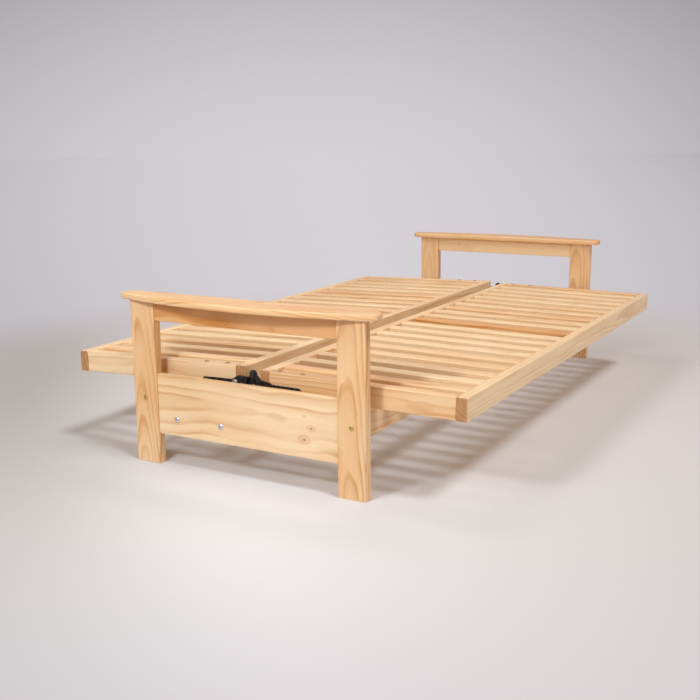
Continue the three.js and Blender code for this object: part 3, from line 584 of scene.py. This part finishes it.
panel_bolts = []
for side in ("left", "right"):
    for name in ("bracket", "pawl", "crease_pin"):
        round_edges(frame["nodes"][f"{side}_{name}"], STEEL_EDGE, black_steel)
    for panel, turn in panel_turns.items():
        body = f"{panel}_frame"
        normal = turn.to_3x3() @ Vector((0, 0, 1))
        just_above = turn @ panels[panel][0][1] + normal * HEAD_CUT
        heads = trimmed(f"{side}_{panel}_arm", just_above, normal, body, "black_steel", black_steel)
        panel_bolts += [(f"{side}_{panel}_bolt_{number}", spot, normal, body)
                        for number, spot in enumerate(heads, 1)]


# Bolts: pan-headed steel bolts with a cross recess hold the brackets, zinc plated and bright. Low domed bolts
# clamp the panels to the hinge's arms. The stretchers' bolts have small yellow heads with a hexagon socket.
ZINC = "E2E4E6"
DULL_ZINC = "BFA27C"
YELLOW_ZINC = "DDBE74"
CLOUD = 2.5 * MM
CLOUD_SHADE = 0.82
CLOUD_RANGE = (0.3, 0.7)  # the range of the noise over which the roughness changes, by these steps
SMOOTHER = 0.08
ROUGHER = 0.1
SCRATCH = 0.6 * MM  # drawn some ten times wider than real scratches, so that they show
SCRATCH_DEPTH = 0.05 * MM
SCRATCH_STRENGTH = 0.15


def plated_steel(name, plating, roughness, metal):
    """Electroplated steel: bright metal, faintly clouded and scratched, part veiled by its passivation."""
    material, tree = new_material(name)
    place = add(tree, "ShaderNodeTexCoord").outputs["Object"]
    cloud = add(tree, "ShaderNodeTexNoise", {"Vector": place, "Scale": 1 / CLOUD, "Detail": 3.0})
    scratch = add(tree, "ShaderNodeTexNoise", {"Vector": place, "Scale": 1 / SCRATCH, "Detail": 2.0})
    dull = [CLOUD_SHADE * part for part in linear(plating)[:3]] + [1.0]
    colour = add(tree, "ShaderNodeMix", {0: cloud, 6: linear(plating), 7: dull}, data_type="RGBA")
    gloss = add(tree, "ShaderNodeMapRange", [cloud, *CLOUD_RANGE, roughness - SMOOTHER, roughness + ROUGHER])
    bump = add(tree, "ShaderNodeBump", {
        "Strength": SCRATCH_STRENGTH, "Distance": SCRATCH_DEPTH, "Height": scratch})
    shader = add(tree, "ShaderNodeBsdfPrincipled", {
        "Base Color": colour.outputs[2], "Roughness": gloss, "Normal": bump, "Metallic": metal})
    add(tree, "ShaderNodeOutputMaterial", [shader])
    return material


bright_zinc = plated_steel("bright_zinc_plate", ZINC, roughness=0.34, metal=0.85)
dull_zinc = plated_steel("dull_zinc_plate", DULL_ZINC, roughness=0.4, metal=0.75)
yellow_zinc = plated_steel("yellow_zinc_plate", YELLOW_ZINC, roughness=0.36, metal=0.95)

# Heads are turned from profiles of (radius, height) in mm, from the rim to the recess.
PAN_HEAD = ((9.2, 0), (9.3, 0.8), (9.0, 1.7), (8.2, 2.7), (6.8, 3.6), (5.4, 4.1), (4.8, 4.2))
CAP_HEAD = ((7.4, 0), (7.5, 0.8), (7.1, 1.7), (6.2, 2.3), (3.4, 2.4))
LOW_DOME = ((8.0, 0), (8.0, 0.3), (7.2, 0.8), (5.6, 1.3), (3.6, 1.6))
CROSS_REACH = 4.5 * MM
CROSS_ARM = 2.4 * MM
CROSS_CORNER = 1.9 * MM
CROSS_ARM_SWING = math.radians(38)
SOCKET = 5.0 * MM
STEPS_PER_SIDE = 8
SHADED_HEAD = math.radians(35)


def cross(angle):
    """The outline of a cross recess with four straight arms."""
    swing = abs((angle + math.pi / 4) % (math.pi / 2) - math.pi / 4)
    if swing >= CROSS_ARM_SWING:
        return CROSS_CORNER
    return min(CROSS_REACH, CROSS_ARM / 2 / max(math.sin(swing), 0.01))


def hexagon(angle):
    """The outline of a hexagon socket."""
    swing = (angle + math.pi / 6) % (math.pi / 3) - math.pi / 6
    return SOCKET / 2 / math.cos(swing)


def turned_head(name, profile, recess, place, axis, body, slot, material):
    """A bolt head turned from a profile. Its recess is an outline, a number of sides and a depth in mm."""
    outline, sides, depth = recess
    steps = STEPS_PER_SIDE * sides
    turns = [2 * math.pi * i / steps for i in range(steps)]
    rings = [[(radius * MM, angle, height) for angle in turns] for radius, height in profile]
    top = profile[-1][1]
    rings += [[(outline(angle), angle, height) for angle in turns] for height in (top, top - depth)]
    bm = bmesh.new()
    rings = [[bm.verts.new((radius * math.cos(angle), radius * math.sin(angle), height * MM))
              for radius, angle, height in ring] for ring in rings]
    for first, second in zip(rings, rings[1:]):
        for i in range(steps):
            j = (i + 1) % steps
            bm.faces.new((first[i], first[j], second[j], second[i])).smooth = True
    bm.faces.new(reversed(rings[0]))
    bm.faces.new(rings[-1])
    bmesh.ops.recalc_face_normals(bm, faces=bm.faces)
    mesh = bpy.data.meshes.new(name)
    bm.to_mesh(mesh)
    bm.free()
    mesh.set_sharp_from_angle(angle=SHADED_HEAD)
    turn = Vector((0, 0, 1)).rotation_difference(Vector(axis)).to_matrix().to_4x4()
    mesh.transform(Matrix.Translation(place) @ turn)
    return show(name, mesh, body, slot, material)


BRACKET_RECESS = (cross, 12, 3.2)
STRETCHER_RECESS = (hexagon, 6, 1.9)
PANEL_RECESS = (hexagon, 6, 1.2)
for side, facing in (("left", -1), ("right", 1)):
    outward = Vector((facing, 0, 0))
    for wood, name, profile, recess, slot, plating in (
            ("lower_board", "bracket_bolt_1", PAN_HEAD, BRACKET_RECESS, "zinc", bright_zinc),
            ("lower_board", "bracket_bolt_2", PAN_HEAD, BRACKET_RECESS, "zinc", bright_zinc),
            ("front_post", "front_stretcher_bolt", CAP_HEAD, STRETCHER_RECESS, "brass", yellow_zinc),
            ("back_post", "back_stretcher_bolt", CAP_HEAD, STRETCHER_RECESS, "brass", yellow_zinc)):
        low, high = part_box(f"{side}_{wood}")
        face = Vector((low.x if facing < 0 else high.x, 0, 0)) + outward * HEAD_CUT
        front, back = trimmed(f"{side}_{name}", face, outward, "base", slot, plating)
        middle = (front + back) / 2
        turned_head(f"{side}_{name}_head", profile, recess, middle, outward, "base", slot, plating)
    round_edges(frame["nodes"][f"{side}_pivot_pin"], THIN_STEEL_EDGE, bright_zinc)
for name, spot, normal, body in panel_bolts:
    turned_head(f"{name}_head", LOW_DOME, PANEL_RECESS, spot, normal, body, "zinc", dull_zinc)


# Floor and backdrop: a pale matt studio floor that runs into the backdrop without an edge, where it turns
# into a painted glow. The backdrop is brightest low down behind the bed, and the floor darkens quickly to the
# left with painted shade.
FLOOR = "D4D7DB"
SHADED_FLOOR_LEFT = "B4B6B6"
BACKDROP = "D9D4D9"
FLOOR_RADIUS = 40.0
FLOOR_ROUGHNESS = 0.8
FLOOR_SHEEN = 0.2
GRIT = 3.333 * MM  # the paint's bumps are drawn some ten times wider than real ones, so that they show
GRIT_HEIGHT = 0.2 * MM
GRIT_STRENGTH = 0.05
FALL_OFF = Vector((-0.7, 0.7, 0.0))  # to the left of the picture
FALL_OFF_RANGE = (0.7, 1.4, 0.0, 1.0)
BACKDROP_AZIMUTH = math.radians(31.5)  # of the brightest place, from +X towards +Y
BACKDROP_RIGHT = Vector((math.sin(BACKDROP_AZIMUTH), -math.cos(BACKDROP_AZIMUTH), 0.0))
GLOW_NARROWS = 3.2  # the glow is wide near the bed and narrows with the distance, to the next value
GLOW_NARROWEST = 0.16
GLOW_LEVELS = (0.97, 0.5)
FLOOR_FADES = (1.3, 2.8, 0.0, 1.0)  # where the lit floor gives way to the backdrop, in metres from the middle

floor_mesh = bpy.data.meshes.new("studio_floor")
bm = bmesh.new()
bmesh.ops.create_circle(bm, cap_ends=True, segments=96, radius=FLOOR_RADIUS)
bm.to_mesh(floor_mesh)
bm.free()
studio_floor = bpy.data.objects.new("studio_floor", floor_mesh)
bpy.context.scene.collection.objects.link(studio_floor)
matt_floor, tree = new_material("matt_studio_floor")
place = add(tree, "ShaderNodeTexCoord").outputs["Object"]
# painted shade: the floor's colour darkens towards the left, where the studio's light falls off
left = add(tree, "ShaderNodeVectorMath", [place, FALL_OFF], operation="DOT_PRODUCT").outputs["Value"]
left = add(tree, "ShaderNodeMapRange", [left, *FALL_OFF_RANGE], interpolation_type="SMOOTHSTEP")
colour = add(tree, "ShaderNodeMix", {0: left, 6: linear(FLOOR), 7: linear(SHADED_FLOOR_LEFT)}, data_type="RGBA")
grit = add(tree, "ShaderNodeTexNoise", {"Vector": place, "Scale": 1 / GRIT, "Detail": 3.0})
bump = add(tree, "ShaderNodeBump", {"Strength": GRIT_STRENGTH, "Distance": GRIT_HEIGHT, "Height": grit})
lit_floor = add(tree, "ShaderNodeBsdfPrincipled", {
    "Base Color": colour.outputs[2], "Roughness": FLOOR_ROUGHNESS, "Specular IOR Level": FLOOR_SHEEN,
    "Normal": bump})
away = add(tree, "ShaderNodeVectorMath", [place], operation="LENGTH").outputs["Value"]
aside = add(tree, "ShaderNodeVectorMath", [place, BACKDROP_RIGHT], operation="DOT_PRODUCT").outputs["Value"]
aside = add(tree, "ShaderNodeMath", [aside, away], operation="DIVIDE")
aside = add(tree, "ShaderNodeMath", [aside, aside], operation="MULTIPLY")
spread = add(tree, "ShaderNodeMath", [GLOW_NARROWS, away], operation="DIVIDE")
spread = add(tree, "ShaderNodeMath", [spread, GLOW_NARROWEST], operation="ADD")
aside = add(tree, "ShaderNodeMath", [aside, spread], operation="DIVIDE")
level = add(tree, "ShaderNodeMapRange", [aside, 0.0, 1.0, *GLOW_LEVELS])
# far off the floor glows in the backdrop's colour: a painted glow, brightest behind the bed and dimmer to the
# sides
painted_glow = add(tree, "ShaderNodeEmission", {"Color": linear(BACKDROP), "Strength": level})
fade = add(tree, "ShaderNodeMapRange", [away, *FLOOR_FADES], interpolation_type="SMOOTHSTEP")
surface = add(tree, "ShaderNodeMixShader", [fade, lit_floor, painted_glow])
add(tree, "ShaderNodeOutputMaterial", [surface])
floor_mesh.materials.append(matt_floor)


# Studio light: a faint warm fill from all round, a high soft key in front, a small lamp beside the left arm
# with a wide soft box behind it, a warm lamp over the bed that lights the far arm's inner side, and a faint
# low soft box that opens up the front faces.
FILL = "FFD0AA"
FILL_LEVEL = 0.33
BACKDROP_LOW = -0.105  # the height of the brightest place, as the sine of its angle
BACKDROP_REACH = 0.72  # how far from there it would be black, in radians
BACKDROP_STEEPNESS = 1.6  # how much faster it darkens upwards than sideways
world = bpy.data.worlds.new("studio")
bpy.context.scene.world = world
world.use_nodes = True
tree = world.node_tree
tree.nodes.clear()
direction = add(tree, "ShaderNodeTexCoord").outputs["Generated"]
aside = add(tree, "ShaderNodeVectorMath", [direction, BACKDROP_RIGHT],
            operation="DOT_PRODUCT").outputs["Value"]
aside = add(tree, "ShaderNodeMath", [aside, aside], operation="MULTIPLY")
above = add(tree, "ShaderNodeSeparateXYZ", [direction]).outputs[2]
above = add(tree, "ShaderNodeMath", [above, BACKDROP_LOW], operation="SUBTRACT")
above = add(tree, "ShaderNodeMath", [above, BACKDROP_STEEPNESS], operation="MULTIPLY")
falling = add(tree, "ShaderNodeMath", [above, above, aside], operation="MULTIPLY_ADD")
level = add(tree, "ShaderNodeMapRange", [falling, 0.0, BACKDROP_REACH ** 2 / 2, 1.0, 0.5])
seen = add(tree, "ShaderNodeBackground", {"Color": linear(BACKDROP), "Strength": level})
light = add(tree, "ShaderNodeBackground", {"Color": linear(FILL), "Strength": FILL_LEVEL})
path = add(tree, "ShaderNodeLightPath")
is_seen = add(tree, "ShaderNodeMath", [path.outputs["Is Camera Ray"], path.outputs["Is Glossy Ray"]],
              operation="MAXIMUM")
mixed = add(tree, "ShaderNodeMixShader", [is_seen, light, seen])
add(tree, "ShaderNodeOutputWorld", [mixed])

KEY_LEVEL = 1.53
KEY_WIDTH = math.radians(14)
KEY_TINT = (0.98, 0.98, 1.0)
KEY_FROM = Vector((-0.14, -0.46, 0.88))
LAMPS = (  # where each is and what it is aimed at, its width in metres, its watts and its tint
    ("light_by_the_arm", (-2.4, 0.0, 1.45), (-0.95, 0.0, 0.35), 0.26, 14.5, (0.93, 0.97, 1.0)),
    ("soft_left_light", (-3.7, 0.37, 2.5), (-0.4, 0.0, 0.3), 2.4, 39.0, (0.97, 0.98, 1.0)),
    ("far_light", (-0.3, 0.2, 1.9), (0.9, 0.0, 0.4), 0.9, 10.0, (1.0, 0.93, 0.86)),
    ("low_front_light", (0.6, -4.2, 1.1), (0.0, -0.5, 0.2), 2.4, 15.0, (1.0, 0.96, 0.98)),
)


def aim(name, lamp, backwards):
    """Puts a lamp in the scene with its back to a direction."""
    lamp_object = bpy.data.objects.new(name, lamp)
    lamp_object.rotation_euler = backwards.to_track_quat("Z", "Y").to_euler()
    bpy.context.scene.collection.objects.link(lamp_object)
    return lamp_object


key = bpy.data.lights.new("front_key", "SUN")
key.energy = KEY_LEVEL
key.angle = KEY_WIDTH
key.color = KEY_TINT
aim("front_key", key, KEY_FROM)
for name, place, target, width, watts, tint in LAMPS:
    soft = bpy.data.lights.new(name, "AREA")
    soft.shape = "DISK"
    soft.size = width
    soft.energy = watts
    soft.color = tint
    aim(name, soft, Vector(place) - Vector(target)).location = place


# Camera: where the photograph was taken from, solved from the edges of the arms and panels. It stands about a
# metre high, off the front corner of the left arm.
CAMERA_PLACE = (-3.2781, -1.6445, 0.9764)
CAMERA_YAW = math.radians(29.584)
CAMERA_PITCH = math.radians(12.148)
CAMERA_ROLL = math.radians(-0.501)
FOCAL_PIXELS = 1014.62
IMAGE_PIXELS = 700
SENSOR_WIDTH = 36.0  # in mm

lens = bpy.data.cameras.new("camera")
lens.sensor_width = SENSOR_WIDTH
lens.lens = SENSOR_WIDTH * FOCAL_PIXELS / IMAGE_PIXELS
camera = bpy.data.objects.new("camera", lens)
ahead = Vector((math.cos(CAMERA_PITCH) * math.cos(CAMERA_YAW), math.cos(CAMERA_PITCH) * math.sin(CAMERA_YAW),
                -math.sin(CAMERA_PITCH)))
sideways = Vector((math.sin(CAMERA_YAW), -math.cos(CAMERA_YAW), 0))
upward = sideways.cross(ahead)
right = math.cos(CAMERA_ROLL) * sideways + math.sin(CAMERA_ROLL) * upward
up = math.cos(CAMERA_ROLL) * upward - math.sin(CAMERA_ROLL) * sideways
camera.matrix_world = Matrix.Translation(CAMERA_PLACE) @ Matrix((right, up, -ahead)).transposed().to_4x4()
bpy.context.scene.collection.objects.link(camera)
bpy.context.scene.camera = camera
bpy.context.scene.view_settings.view_transform = "Standard"
